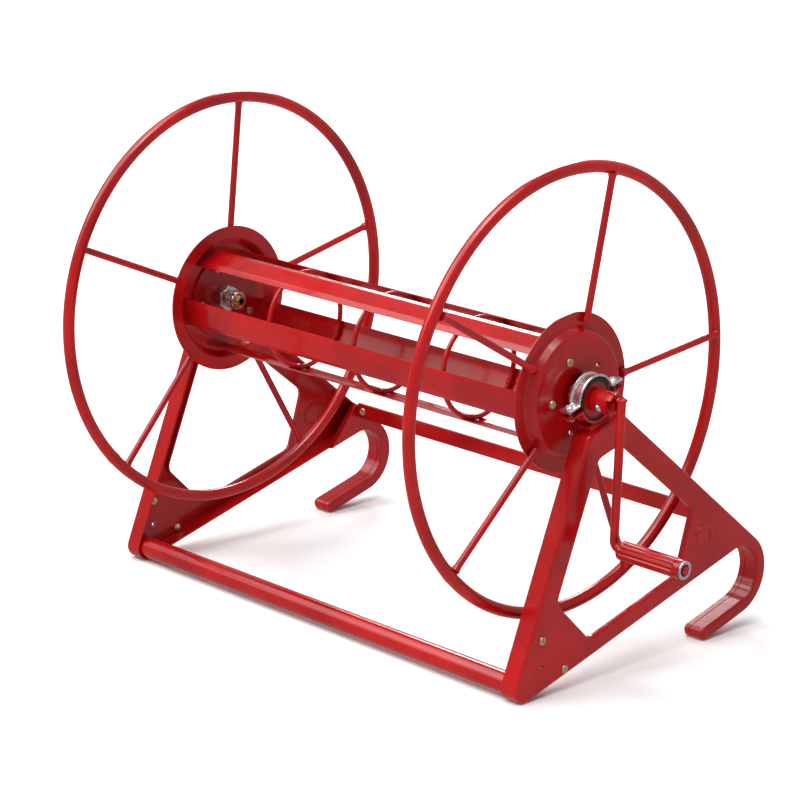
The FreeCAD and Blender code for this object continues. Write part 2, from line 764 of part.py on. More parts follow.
def drilled(body, offset, depth, bore):
    # the five holes around the axle
    holes = sketchOn(body, "YZ_Plane", "FiveHoles", offset)
    for k in range(5):
        y, z = polar(holeCircle, phase + 72 * k)
        circle(holes, bore, y, z)
    pocket(body, holes, depth)


def disc(label, side):
    body = revolve(label + "Body", [
        (side * discX, discRadius),
        (side * discX, stepOuter),
        (side * faceIn, stepInner),
        (side * faceIn, size("disc_bore")),
        (side * faceOut, size("disc_bore")),
        (side * faceOut, stepInner + 0.6),
        (side * (discX + discGauge), stepOuter + 0.6),
        (side * (discX + discGauge), discRadius),
    ])
    roundEdges(body, size("step_round"), lambda e: onRing(e, stepOuter) or onRing(e, stepInner))
    drilled(body, side * faceIn - 2, discGauge + 5, size("disc_hole"))
    return seat(body, label)


for label, side in (("disc_right", 1), ("disc_left", -1)):
    disc(label, side)
    seat(group([ring(size("rim_radius"), size("rim_wire"), side * discX)]), "rim" + label[4:])
    first = size("spoke_phase" + label[4:])
    spokes = []
    inner = size("spoke_inner")
    reach = size("rim_radius") - inner - 3
    lift = side * (discX + discGauge + size("spoke_wire") + touchGap)
    for k in range(5):
        turn = Rotation(Vector(1, 0, 0), first.value + 72 * k - 90)
        y, z = polar(inner, first + 72 * k)
        spokes.append(cylinder(size("spoke_wire"), reach, lift, y, z, turn))
    coped = cut(group(spokes), ring(size("rim_radius"), size("rim_wire") + touchGap, side * discX))
    seat(coped, "spokes" + label[4:])

slatRadius, slatHalf = size("slat_radius"), size("slat_half")
wing, fold, slatGauge = size("slat_wing"), size("slat_fold"), size("slat_gauge")
slatEnd = faceIn - 0.1


def slat(label, number):
    # folded strip; drawn with its flat upwards, then turned about the axle
    body = newBody(label + "Body")
    sketch = sketchOn(body, "YZ_Plane", label + "Section", -slatEnd)
    wingU, wingV = slatHalf + wing * cosine(fold), slatRadius - wing * sine(fold)
    outer = [(wingU, wingV), (slatHalf, slatRadius)]
    inner = [
        (slatHalf - 0.19 * slatGauge, slatRadius - slatGauge),
        (wingU - slatGauge * sine(fold), wingV - slatGauge * cosine(fold)),
    ]
    right = outer + [(-u, v) for u, v in reversed(outer)]
    left = [(-u, v) for u, v in reversed(inner)] + inner
    outline(sketch, right + left)
    pad(body, sketch, 2 * slatEnd)
    roundEdges(body, size("slat_round"), lambda e: runsAlongX(e) and any(
        near(e, s * slatHalf, slatRadius) for s in (-1, 1)))
    turn = size("slat_phase") + 72 * number - 90
    seat(body, label)
    body.Placement = Placement(body.Placement.Base, Rotation(Vector(1, 0, 0), turn.value))
    bind(body, ".Placement.Rotation.Angle", turn)
    return body


for k in range(5):
    slat("slat_%d" % (k + 1), k)

for k in range(3):
    hoop = ring(size("hoop_radius"), size("hoop_wire"), (k - 1) * size("hoop_pitch"))
    seat(group([hoop]), "hoop_%d" % (k + 1))

flangeRadius, flangeThick = size("flange_radius"), size("flange_thick")
neck, journal = size("neck_radius"), size("journal_radius")
strapX, strapWidth = size("strap_x"), size("strap_width")
journalStart = strapX - 12
journalEnd = strapX + 0.5 * strapWidth - 2
flangeIn = faceIn - flangeThick
hubStart = journalEnd + 0.5
hubEnd = hubStart + size("hub_length")
armX = size("arm_x")
axleTip = armX - size("arm_wire") - 0.3

body = revolve("AxleRightBody", [
    (flangeIn, 0),
    (flangeIn, flangeRadius),
    (faceIn - 0.05, flangeRadius),
    (faceIn - 0.05, neck),
    (journalStart, neck),
    (journalStart, journal),
    (journalEnd, journal),
    (journalEnd, size("hub_bore")),
    (hubStart + size("hub_cut"), size("hub_bore")),
    (hubStart + size("hub_cut"), size("axle_stub")),
    (axleTip, size("axle_stub")),
    (axleTip, 0),
])
drilled(body, flangeIn - 1, flangeThick + 2, size("disc_hole"))
pinX, pinTilt = hubStart + size("pin_place"), size("pin_tilt")
pinTurn = Rotation(Vector(1, 0, 0), 90 + pinTilt.value)
pinBore = size("pin_radius") + 0.1


def pinHole():
    y, z = polar(0.5 * drill, pinTilt)
    return cylinder(pinBore, drill, pinX, y, z, pinTurn)


seat(cut(body, pinHole()), "axle_right")

waterBore = size("water_bore")
tailEnd = plateOuter + size("tail_length")
tail = size("tail_radius")
body = revolve("AxleLeftBody", [
    (-flangeIn, waterBore),
    (-flangeIn, flangeRadius),
    (0.05 - faceIn, flangeRadius),
    (0.05 - faceIn, neck),
    (-journalStart, neck),
    (-journalStart, journal),
    (-journalEnd, journal),
    (-journalEnd, tail),
    (-tailEnd, tail),
    (-tailEnd, waterBore),
])
drilled(body, 0 - faceIn - 1, flangeThick + 2, size("disc_hole"))
seat(body, "axle_left")

screws, nuts = [], []
for side in (-1, 1):
    for k in (1, 2, 4):
        y, z = polar(holeCircle, phase + 72 * k)
        turn = Rotation(Vector(0, 1, 0), 90 * side)
        screws.append(screw(discGauge + flangeThick + spare + 1, side * faceOut, y, z, turn))
        nuts.append(nut(side * (flangeIn - size("nut_height")), y, z, turn))
seat(group(screws), "disc_screws")
seat(group(nuts), "disc_nuts")

# fittings of the hose inside the drum
fitX = -flangeIn
pipe, lip = size("nipple_radius"), size("nipple_lip")
shoulder, pipeEnd = size("nipple_shoulder"), size("nipple_length")
fittingNut = nut(fitX, 0, 0, alongX, pipe + 0.1, size("fitting_nut"), size("fitting_nut_height"))
seat(group([fittingNut]), "nipple_nut")
lockRing = cylinder(size("lock_radius"), size("lock_length"), shoulder)
seat(cut(lockRing, cylinder(size("lock_bore"), drill, 0)), "lock_ring", False, fitX)
body = revolve("NippleBody", [
    (0, waterBore),
    (pipeEnd, waterBore),
    (pipeEnd, size("nipple_end")),
    (size("nipple_thread_end"), lip),
    (shoulder, lip),
    (shoulder, pipe),
    (0, pipe),
])
seat(body, "outlet_nipple", False, fitX)

# ---- bearings ---------------------------------------------------------------

bushIn = journal + size("bush_fit")
bushOut = bushIn + size("bush_wall")
strapOut = bushOut + size("strap_wall")
rib, ribWidth = size("rib_height"), size("rib_width")
ear, earDrop, earScrew = size("ear_reach"), size("ear_drop"), size("ear_screw")
earThick = size("ear_thick")


def arch(name, up, length, outside):
    # half ring with two ears, its ears above (or below) the axle line
    body = newBody(name)
    sketch = sketchOn(body, "YZ_Plane", name + "Section")
    inner = bushOut + touchGap
    low, high = up * earDrop, up * (earDrop + earThick)
    innerU = root(inner * inner - earDrop * earDrop)
    outerU = root(outside * outside - (earDrop + earThick) * (earDrop + earThick))
    outline(sketch, [
        (innerU, low, 0, 0, -up),
        (ear, low),
        (ear, high),
        (outerU, high),
        (-outerU, high, 0, 0, up),
        (-ear, high),
        (-ear, low),
        (-innerU, low),
    ])
    pad(body, sketch, length)
    return body


def screwBores():
    # holes of the two clamp screws, through the ears
    bores = []
    for along in (-earScrew, earScrew):
        bores.append(cylinder(screwBore, drill, 0.5 * strapWidth, along, -0.5 * drill, Rotation()))
    return group(bores)


def bearing(label, side):
    start = side * strapX - 0.5 * strapWidth
    middle = arch("StrapMiddle", 1, strapWidth, strapOut)
    ends = []
    for offset in (zero, strapWidth - ribWidth):
        end = arch("StrapEnd", 1, ribWidth, strapOut + rib)
        place(end, offset)
        ends.append(end)
    seat(cut(fuse(middle, *ends), screwBores()), "bearing_clamp" + label, True, start)
    cradle = arch("Cradle", -1, strapWidth, strapOut)
    seatWidth = size("seat_width")
    foot = box(strapWidth, seatWidth, size("seat_height"), 0, -0.5 * seatWidth, -apexDrop)
    hollow = cylinder(bushOut + touchGap, strapWidth + 2, -1)
    seat(cut(cut(fuse(cradle, foot), hollow), screwBores()), "bearing_seat" + label, True, start)
    edge = size("bush_edge")
    bush = cut(cylinder(bushOut, strapWidth - 2 * edge), cylinder(bushIn, strapWidth, -1))
    seat(bush, "bearing_bush" + label, True, start + edge)


bearing("_right", 1)
bearing("_left", -1)

screws, nuts = [], []
for side in (-1, 1):
    for along in (-earScrew, earScrew):
        x = side * strapX
        top = earDrop + earThick
        screws.append(screw(2 * top + size("nut_height") + 2, x, along, top, Rotation()))
        nuts.append(nut(x, along, -top - size("nut_height"), Rotation()))
seat(group(screws), "clamp_screws", True)
seat(group(nuts), "clamp_nuts", True)

# ---- crank ------------------------------------------------------------------

hubRadius, hubBore = size("hub_radius"), size("hub_bore")
wire, bend, throw = size("arm_wire"), size("arm_bend"), size("crank_throw")
hubHole = cylinder(hubBore + touchGap, drill, hubStart - 1)
sleeve = cut(cylinder(hubRadius, hubEnd - hubStart, hubStart), hubHole)
opening = box(drill, drill, drill, hubStart + size("hub_cut"), -0.5 * drill, size("hub_cap") - drill)
seat(cut(sleeve, group([opening, pinHole()])), "crank_hub")

pinHead, pinCap = size("pin_head"), size("pin_cap")
heads = [cylinder(pinHead, pinCap, 0, 0, hubRadius + touchGap, Rotation()),
         cylinder(pinHead, pinCap, 0, 0, -hubRadius - pinCap - touchGap, Rotation())]
shaft = cylinder(size("pin_radius"), 2 * hubRadius + 2, 0, 0, -hubRadius - 1, Rotation())
pinBody = fuse(shaft, *heads)
place(pinBody, pinX, 0, 0, pinTurn)
seat(group([pinBody]), "crank_pin")

upright = cylinder(wire, size("arm_up") + throw - bend, armX, 0, bend - throw, Rotation())
elbow = doc.addObject("Part::Torus", "Elbow")
bind(elbow, "Radius1", bend)
bind(elbow, "Radius2", wire)
elbow.Angle3 = 90
place(elbow, armX + bend, 0, bend - throw, Rotation(Vector(-1, 0, 0), Vector(0, 0, -1), Vector(0, -1, 0)))
gripStart, gripLength, gripRadius = size("grip_start"), size("grip_length"), size("grip_radius")
rodEnd = gripStart + gripLength + size("washer_gauge") + 0.8
spindle = cylinder(wire, rodEnd - armX - bend, armX + bend, 0, -throw)
seat(fuse(upright, elbow, spindle), "crank_arm")

recess = size("grip_recess")
collarX = gripStart + gripLength - size("collar_deep")
seat(cut(cylinder(recess - 2 * sheetGap, size("collar_gauge"), collarX), cylinder(wire, 5, collarX - 1)),
     "grip_collar", False, 0, 0, -throw)

flutes = []
fluteRadius = size("flute_radius")
for k in range(12):
    y, z = polar(gripRadius + size("flute_rise"), 30 * k)
    flutes.append(cylinder(fluteRadius, gripLength - size("flute_end"), 3, y, z))
sleeve = cut(cylinder(gripRadius, gripLength), group(flutes))
bore = cylinder(wire + size("grip_fit"), gripLength + 2, -1)
hollow = cylinder(recess, 10, gripLength - size("recess_deep"))
seat(cut(sleeve, group([bore, hollow])), "grip_sleeve", False, gripStart, 0, -throw)
seat(cut(cylinder(size("washer_radius"), size("washer_gauge")), cylinder(recess, 5, -1)),
     "grip_washer", False, gripStart + gripLength, 0, -throw)

# ---- water inlet ------------------------------------------------------------

inletRadius, inletLength = size("inlet_radius"), size("inlet_length")
inletLeg, inletDrop = size("inlet_leg"), size("inlet_drop")
inletStart = journalEnd + 0.6
legX = tailEnd + 6
down = Rotation(Vector(1, 0, 0), 180)
swivel = fuse(
    cylinder(inletRadius, inletLength, -inletStart - inletLength),
    cylinder(inletLeg, inletDrop, -legX, 0, 0, down))
inletBore = size("inlet_bore")
ways = group([
    cylinder(tail + size("bush_fit"), drill, -tailEnd - 0.6),
    cylinder(inletBore, 12, -tailEnd - 10),
    cylinder(inletBore, inletDrop + 5, -legX, 0, 0, down)])
seat(cut(swivel, ways), "inlet_swivel")
legNut = nut(-legX, 0, -inletDrop + 13, down, inletLeg + touchGap,
             size("inlet_nut_across"), size("inlet_nut_height"))
seat(group([legNut]), "inlet_nut")
barb, barbRoot, barbEnd = size("barb_radius"), size("barb_root"), size("barb_end")
body = newBody("InletTailBody")
sketch = sketchOn(body, "XZ_Plane", "InletTailProfile")
outline(sketch, [
    (inletBore, 0),
    (barb, 0),
    (barb, -0.18 * barbEnd),
    (barbRoot, -0.25 * barbEnd),
    (barb, -0.45 * barbEnd),
    (barbRoot, -0.5 * barbEnd),
    (barb, -0.73 * barbEnd),
    (barbRoot, -0.78 * barbEnd),
    (0.9 * barb, -barbEnd),
    (inletBore, -barbEnd),
])
turned = body.newObject("PartDesign::Revolution", "Revolution")
turned.Profile = sketch
turned.ReferenceAxis = (sketch, ["V_Axis"])
turned.Angle = 360.0
doc.recompute()
seat(body, "inlet_tail", False, -legX, 0, -inletDrop)

# ---- checks and files -------------------------------------------------------

doc.recompute()
for item in doc.Objects:
    if "Invalid" in item.State or "Error" in item.State:
        raise RuntimeError("%s: %s" % (item.Label, item.getStatusString()))
    if hasattr(item, "Shape") and item.TypeId.startswith("Part") and item.Shape.isNull():
        raise RuntimeError("%s has no shape" % item.Label)

os.makedirs("parts", exist_ok=True)
whole = FreeCAD.BoundBox()
for item in nodes:
    if not item.Shape.isValid():
        raise RuntimeError("%s is not valid" % item.Label)
    whole.add(item.Shape.optimalBoundingBox(False, False))
    item.Shape.exportStep("parts/%s.step" % item.Label)
    print(item.Label, len(item.Shape.Solids), round(item.Shape.Volume))
print(len(nodes), "nodes", whole)
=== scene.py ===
import json
import math
import bpy
import bmesh
import numpy as np
from mathutils import Matrix, Vector


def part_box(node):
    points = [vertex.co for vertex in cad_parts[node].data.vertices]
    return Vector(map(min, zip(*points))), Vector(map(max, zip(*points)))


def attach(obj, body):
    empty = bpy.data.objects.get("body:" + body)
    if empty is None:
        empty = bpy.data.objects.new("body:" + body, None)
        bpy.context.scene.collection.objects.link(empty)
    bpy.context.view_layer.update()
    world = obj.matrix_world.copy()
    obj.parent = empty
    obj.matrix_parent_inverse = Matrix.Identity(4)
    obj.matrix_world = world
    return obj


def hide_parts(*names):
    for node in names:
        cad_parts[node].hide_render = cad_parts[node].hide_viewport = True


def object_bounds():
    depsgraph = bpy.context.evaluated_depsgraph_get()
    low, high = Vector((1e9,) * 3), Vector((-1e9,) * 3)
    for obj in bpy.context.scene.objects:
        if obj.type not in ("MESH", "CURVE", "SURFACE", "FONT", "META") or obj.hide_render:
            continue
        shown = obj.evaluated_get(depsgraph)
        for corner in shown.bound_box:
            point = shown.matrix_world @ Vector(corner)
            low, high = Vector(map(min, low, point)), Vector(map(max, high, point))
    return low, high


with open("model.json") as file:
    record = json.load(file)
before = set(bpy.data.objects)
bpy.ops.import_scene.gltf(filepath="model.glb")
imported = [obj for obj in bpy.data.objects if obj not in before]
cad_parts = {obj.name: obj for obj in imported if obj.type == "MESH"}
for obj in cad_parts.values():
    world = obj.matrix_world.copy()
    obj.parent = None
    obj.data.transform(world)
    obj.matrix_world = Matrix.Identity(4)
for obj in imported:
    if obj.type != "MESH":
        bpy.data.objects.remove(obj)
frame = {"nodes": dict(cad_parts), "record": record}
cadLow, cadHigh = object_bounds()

scene = bpy.context.scene
nodes = frame["nodes"]


def mid(node):
    low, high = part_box(node)
    return (np.array(low) + np.array(high)) / 2


axle = mid("hoop_2")  # middle of the drum, on the axle
print("frame loaded:", len(nodes), "nodes")

# A shader socket that can be added, multiplied and so on.


class Wire:
    tree = None

    def __init__(self, socket):
        self.socket = socket

    @classmethod
    def node(cls, kind, settings=None, out=0, **sockets):
        made = cls.tree.nodes.new(kind)
        for name, value in (settings or {}).items():
            setattr(made, name, value)
        for name, value in sockets.items():
            key = int(name[1:]) if name[0] == "i" and name[1:].isdigit() else name.replace("_", " ")
            cls.join(made.inputs[key], value)
        return cls(made.outputs[out])

    @classmethod
    def join(cls, target, value):
        if isinstance(value, Wire):
            cls.tree.links.new(value.socket, target)
        else:
            target.default_value = value

    def maths(self, operation, other, flip=False):
        a, b = (other, self) if flip else (self, other)
        return Wire.node("ShaderNodeMath", {"operation": operation}, i0=a, i1=b)

    def __add__(self, other):
        return self.maths("ADD", other)

    def __radd__(self, other):
        return self.maths("ADD", other, True)

    def __mul__(self, other):
        return self.maths("MULTIPLY", other)

    def __rmul__(self, other):
        return self.maths("MULTIPLY", other, True)


def objectPlace():
    return Wire.node("ShaderNodeTexCoord", out=3)


def noise(place, scale, detail=2.0, rough=0.5):
    return Wire.node("ShaderNodeTexNoise", Vector=place, Scale=scale, Detail=detail, Roughness=rough)


def band(value, low, high):
    # 0 below low, 1 above high, smooth between
    return Wire.node("ShaderNodeMapRange", {"interpolation_type": "SMOOTHSTEP"},
                     Value=value, From_Min=low, From_Max=high)


def tint(factor, first, second):
    mixed = Wire.tree.nodes.new("ShaderNodeMix")
    mixed.data_type = "RGBA"
    Wire.join(mixed.inputs["Factor"], factor)
    Wire.join(mixed.inputs["A"], first)
    Wire.join(mixed.inputs["B"], second)
    return Wire(mixed.outputs["Result"])


def bump(height, strength, distance):
    return Wire.node("ShaderNodeBump", Height=height, Strength=strength, Distance=distance)


def newMaterial(name, build):
    material = bpy.data.materials.new(name)
    material.use_nodes = True
    Wire.tree = material.node_tree
    shader = next(n for n in Wire.tree.nodes if n.type == "BSDF_PRINCIPLED")
    for socket, value in build().items():
        Wire.join(shader.inputs[socket], value)
    return material


redCoat = {
    "deep": (0.29, 0.0022, 0.0030, 1),  # powder coat in the hollows of its texture
    "full": (0.47, 0.0046, 0.0052, 1),
    "gloss": 0.15,
    "shine": 0.42,
    "peel": 900.0,  # orange-peel grain per metre
}


def powderCoat(values=redCoat, darker=1.0):
    place = objectPlace()
    drift = noise(place, 9.0, 3.0)
    peel = noise(place, values["peel"], 2.0)
    dust = noise(place, 140.0, 4.0, 0.7)
    deep = tuple(c * darker for c in values["deep"][:3]) + (1,)
    full = tuple(c * darker for c in values["full"][:3]) + (1,)
    colour = tint(band(drift + dust * 0.25, 0.38, 0.86), deep, full)
    return {
        "Base Color": colour,
        "Roughness": values["gloss"] + band(dust, 0.45, 0.8) * 0.10,
        "Coat Weight": 0.25,
        "Coat Roughness": 0.06,
        "Specular IOR Level": values["shine"],
        "Normal": bump(peel, 0.10, 0.0006),
    }


def plated(light, dark, rough, grain=600.0):
    # electroplated steel: cloudy tone, fine grain, small dull spots
    def build():
        place = objectPlace()
        cloud = noise(place, 90.0, 3.0, 0.6)
        fine = noise(place, grain, 2.0)
        spots = band(noise(place, 320.0, 2.0), 0.60, 0.72)
        return {
            "Base Color": tint(band(cloud, 0.35, 0.7), dark, light),
            "Metallic": 1.0,
            "Roughness": rough + cloud * 0.12 + spots * 0.15,
            "Normal": bump(fine, 0.15, 0.0004),
        }
    return build


def moulded():
    place = objectPlace()
    fine = noise(place, 1500.0, 2.0)
    return {
        "Base Color": tint(noise(place, 40.0), (0.030, 0.004, 0.004, 1), (0.060, 0.009, 0.008, 1)),
        "Roughness": 0.42 + fine * 0.12,
        "Normal": bump(fine, 0.2, 0.0003),
    }


metals = {  # light tone, dark tone, roughness
    "yellowZinc": ((0.92, 0.87, 0.66, 1), (0.68, 0.58, 0.32, 1), 0.24),
    "brightZinc": ((0.97, 0.97, 0.98, 1), (0.74, 0.74, 0.78, 1), 0.20),
    "brassTurned": ((0.88, 0.68, 0.34, 1), (0.62, 0.42, 0.16, 1), 0.20),
}
finishes = {
    "red_coat": newMaterial("redCoat", powderCoat),
    # axle: the red coat darkened to 0.7 as painted shade, standing in for the shadow inside the bearing
    # bush
    "steel": newMaterial("axleCoatPaintedShade", lambda: powderCoat(darker=0.7)),
    "grip_coat": newMaterial("gripCoat", lambda: powderCoat(darker=0.92)),
    "yellow_zinc": newMaterial("yellowZinc", plated(*metals["yellowZinc"])),
    "bright_zinc": newMaterial("brightZinc", plated(*metals["brightZinc"])),
    "brass": newMaterial("brassTurned", plated(*metals["brassTurned"])),
    "bush_plastic": newMaterial("bushPlastic", moulded),
}

slotOf = {part["node"]: part["material_slot"] for part in frame["record"]["subparts"]}
for name, thing in nodes.items():
    thing.data.materials.clear()
    thing.data.materials.append(finishes[slotOf[name]])
print("finishes set:", len(finishes))

# The stand leans about the axle: leanU runs up its base towards the hooks, leanV is square to it.
leanAngle = math.radians(16.0)
alongX = np.array([1.0, 0.0, 0.0])
backY = np.array([0.0, 1.0, 0.0])
upZ = np.array([0.0, 0.0, 1.0])
leanU = np.array([0.0, math.cos(leanAngle), math.sin(leanAngle)])
leanV = np.array([0.0, -math.sin(leanAngle), math.cos(leanAngle)])
sides = {"right": 1.0, "left": -1.0}
fullTurn = 2 * math.pi


def offAxle(x, u=0.0, v=0.0):
    # x from the middle of the drum, u and v in the leaning frame of the stand
    return axle + x * alongX + u * leanU + v * leanV


def reach(node, side):
    # distance from the middle of the drum to the far face of a node
    low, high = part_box(node)
    return (high[0] - axle[0]) if side > 0 else (axle[0] - low[0])


def angles(count):
    return np.linspace(0, fullTurn, count, endpoint=False)


def unit(vector):
    return vector / np.linalg.norm(vector)


def gridFaces(rows, cols, wrapRows, wrapCols):
    # quads between neighbouring rows and columns, going round where a side is wrapped
    r = np.arange(rows if wrapRows else rows - 1)[:, None]
    c = np.arange(cols if wrapCols else cols - 1)[None, :]
    nextR, nextC = (r + 1) % rows, (c + 1) % cols
    corners = [r * cols + c, r * cols + nextC, nextR * cols + nextC, nextR * cols + c]
    return np.stack([k + 0 * (r + c) for k in corners], axis=-1).reshape(-1, 4)


def makePiece(name, body, slot, shells, hides=(), crease=38.0):
    # shells: grids of points, each with its wrapRows and wrapCols
    points, faces, start = [], [], 0
    for grid, wrapRows, wrapCols in shells:
        rows, cols = grid.shape[:2]
        points.append(grid.reshape(-1, 3))
        faces.append(gridFaces(rows, cols, wrapRows, wrapCols) + start)
        start += rows * cols
    mesh = bpy.data.meshes.new(name)
    mesh.from_pydata(np.concatenate(points).tolist(), [], np.concatenate(faces).tolist())
    work = bmesh.new()
    work.from_mesh(mesh)
    bmesh.ops.remove_doubles(work, verts=work.verts, dist=2e-6)  # closes the poles
    bmesh.ops.dissolve_degenerate(work, edges=work.edges, dist=1e-7)
    bmesh.ops.recalc_face_normals(work, faces=work.faces)
    for face in work.faces:
        face.smooth = True
    for edge in work.edges:
        edge.smooth = len(edge.link_faces) == 2 and edge.calc_face_angle(0) < math.radians(crease)
    work.to_mesh(mesh)
    work.free()
    piece = bpy.data.objects.new(name, mesh)
    scene.collection.objects.link(piece)
    mesh.materials.append(finishes[slot])
    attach(piece, body)
    if hides:
        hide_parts(*hides)
    return piece


def turned(origin, axis, along, radius, cols=48, first=None):
    # point = origin + along * axis + radius * (cos a * first + sin a * second), a round the axis
    first = unit(np.cross(axis, upZ if abs(axis[2]) < 0.9 else alongX)) if first is None else first
    second = np.cross(axis, first)
    a = angles(cols)
    spin = np.cos(a)[:, None] * first + np.sin(a)[:, None] * second
    along = np.asarray(along, float)
    radius = np.asarray(radius, float)
    along = along[:, None] if along.ndim == 1 else along
    radius = radius[:, None] if radius.ndim == 1 else radius
    return origin + along[..., None] * axis + radius[..., None] * spin[None]


def swell(distance, width):
    return np.exp(-(distance / width) ** 2)


def turnGap(a, b):
    # signed angle between two directions
    return (a - b + math.pi) % fullTurn - math.pi


def hexRadius(across, cols):
    # a hexagon seen from its middle: flat distance over the cosine within each sixth of a turn
    a = angles(cols)
    return across / np.cos((a + math.pi / 6) % (math.pi / 3) - math.pi / 6)


def bead(path, radius, binormal, ripple=0.22, cols=10):
    # weld bead: a circle carried along a line, its radius rising and falling like laid metal
    path = np.asarray(path, float)
    ahead = np.gradient(path, axis=0)
    ahead /= np.linalg.norm(ahead, axis=1)[:, None]
    across = np.cross(binormal, ahead)
    across /= np.linalg.norm(across, axis=1)[:, None]
    lift = np.cross(ahead, across)
    run = np.concatenate([[0], np.cumsum(np.linalg.norm(np.diff(path, axis=0), axis=1))])
    ends = np.clip(np.minimum(run, run[-1] - run) / radius, 0, 1)
    size = radius * np.sqrt(1 - (1 - ends) ** 2) * (1 + ripple * np.sin(run * 2600))
    a = angles(cols)
    ringShape = np.cos(a)[None, :, None] * across[:, None] + np.sin(a)[None, :, None] * lift[:, None]
    return path[:, None] + size[:, None, None] * ringShape


def straight(start, end, count=40):
    t = np.linspace(0, 1, count)[:, None]
    return np.asarray(start) * (1 - t) + np.asarray(end) * t


# Wire rims: a circle of wire, thicker at the butt weld and at each spoke.
rimShape = {"wire": 0.007, "radius": 0.250, "joinAt": 3.9, "joinLift": 0.0007, "joinWidth": 0.012,
            "spokeLift": 0.0016, "spokeWidth": 0.026}
spokeShape = {"wire": 0.004, "from": 0.079, "weld": 0.0012, "weldWidth": 0.004, "weldInside": 0.0035}
spokePhase = {"right": math.radians(79.0), "left": math.radians(86.2)}


def wireRing(x, radius, wire, lift, rows=320, cols=20):
    # point = (x + r sin b, (radius + r cos b) turned by a), r = wire + lift(a, b)
    a, b = np.meshgrid(np.linspace(0, fullTurn, rows, endpoint=False), angles(cols), indexing="ij")
    r = wire + lift(a, b)
    out = radius + r * np.cos(b)
    return axle + np.stack([x + r * np.sin(b), out * np.cos(a), out * np.sin(a)], axis=-1)


def makeRim(name, side):
    x = side * reach("rim_" + name, side) - side * rimShape["wire"]
    spots = spokePhase[name] + np.arange(5) * fullTurn / 5

    def lift(a, b):
        join = rimShape["joinLift"] * swell(turnGap(a, rimShape["joinAt"]), rimShape["joinWidth"])
        join = join * (1 + 0.4 * np.sin(9 * b))
        for spot in spots:
            facing = swell(turnGap(b, math.pi - side * 0.9), 0.7)
            rough = 1 + 0.3 * np.sin(7 * b + 60 * a)
            near = swell(turnGap(a, spot), rimShape["spokeWidth"])
            join = join + rimShape["spokeLift"] * near * facing * rough
        return join

    grid = wireRing(x, rimShape["radius"], rimShape["wire"], lift)
    makePiece("rimWire." + name, "drum", "red_coat", [(grid, True, True)], ["rim_" + name])


def makeSpokes(name, side):
    # straight wires, each flared where it is welded to the disc and to the rim
    x = side * (reach("spokes_" + name, side) - spokeShape["wire"])
    length = rimShape["radius"] - spokeShape["from"] - 0.0058
    shells = []
    for k in range(5):
        a = spokePhase[name] + k * fullTurn / 5
        out = np.array([0.0, math.cos(a), math.sin(a)])
        s = np.concatenate([
            [0, 0], np.linspace(0.0006, 0.016, 12), np.linspace(0.03, length - 0.016, 6),
            np.linspace(length - 0.013, length, 12), [length]])
        turn = angles(20)
        wobble = 1 + 0.25 * np.sin(3 * turn + 900 * s[:, None])
        flare = spokeShape["weld"] * (swell(s - 0.002, spokeShape["weldWidth"])
                                      + 1.2 * swell(length - s, spokeShape["weldInside"]))
        radius = spokeShape["wire"] + flare[:, None] * wobble
        radius[0] = radius[-1] = 0
        origin = axle + x * alongX + spokeShape["from"] * out
        shells.append((turned(origin, out, s, radius, 20), False, True))
    makePiece("spokeSet." + name, "drum", "red_coat", shells, ["spokes_" + name])


# Hoops under the slats, with a spot weld at each slat.
hoopShape = {"wire": 0.003, "radius": 0.0583, "phase": math.radians(46.0), "weld": 0.0016,
             "weldWidth": 0.05}


def makeHoops():
    def lift(a, b):
        total = 0 * a
        for k in range(5):
            gap = turnGap(a, hoopShape["phase"] + k * fullTurn / 5)
            total = total + hoopShape["weld"] * swell(gap, hoopShape["weldWidth"])
        return total * (0.6 + 0.4 * np.sin(b) ** 2)

    for number in (1, 2, 3):
        node = "hoop_%d" % number
        grid = wireRing(mid(node)[0] - axle[0], hoopShape["radius"], hoopShape["wire"], lift, 160, 14)
        makePiece("hoopWire.%d" % number, "drum", "red_coat", [(grid, True, True)], [node])


# Bearing straps: half ring with two ears, its ends flanged outwards and rounded.
strapShape = {"middle": 0.02508, "half": 0.0015, "ear": 0.044, "earMid": 0.00425, "bend": 0.003,
              "lip": 0.002, "lipWidth": 0.0021, "bendGap": 0.0004}


def strapPath():
    # straight ear, small bend, half circle about the axle, small bend, straight ear
    big, small, ear, low = (strapShape[k] for k in ("middle", "bend", "ear", "earMid"))
    bendV = low + small
    bendU = math.sqrt((big + small) ** 2 - bendV ** 2)
    meet = math.atan2(bendV, bendU)
    flat = np.stack([np.linspace(ear, bendU + strapShape["bendGap"], 7), np.full(7, low)], axis=1)
    t = np.linspace(-math.pi / 2, meet - math.pi, 9)
    bent = np.stack([bendU + small * np.cos(t), bendV + small * np.sin(t)], axis=1)
    t = np.linspace(meet + 0.04, math.pi / 2, 24)
    over = np.stack([big * np.cos(t), big * np.sin(t)], axis=1)
    half = np.concatenate([flat, bent, over])
    return np.concatenate([half, (half * [-1, 1])[-2::-1]])


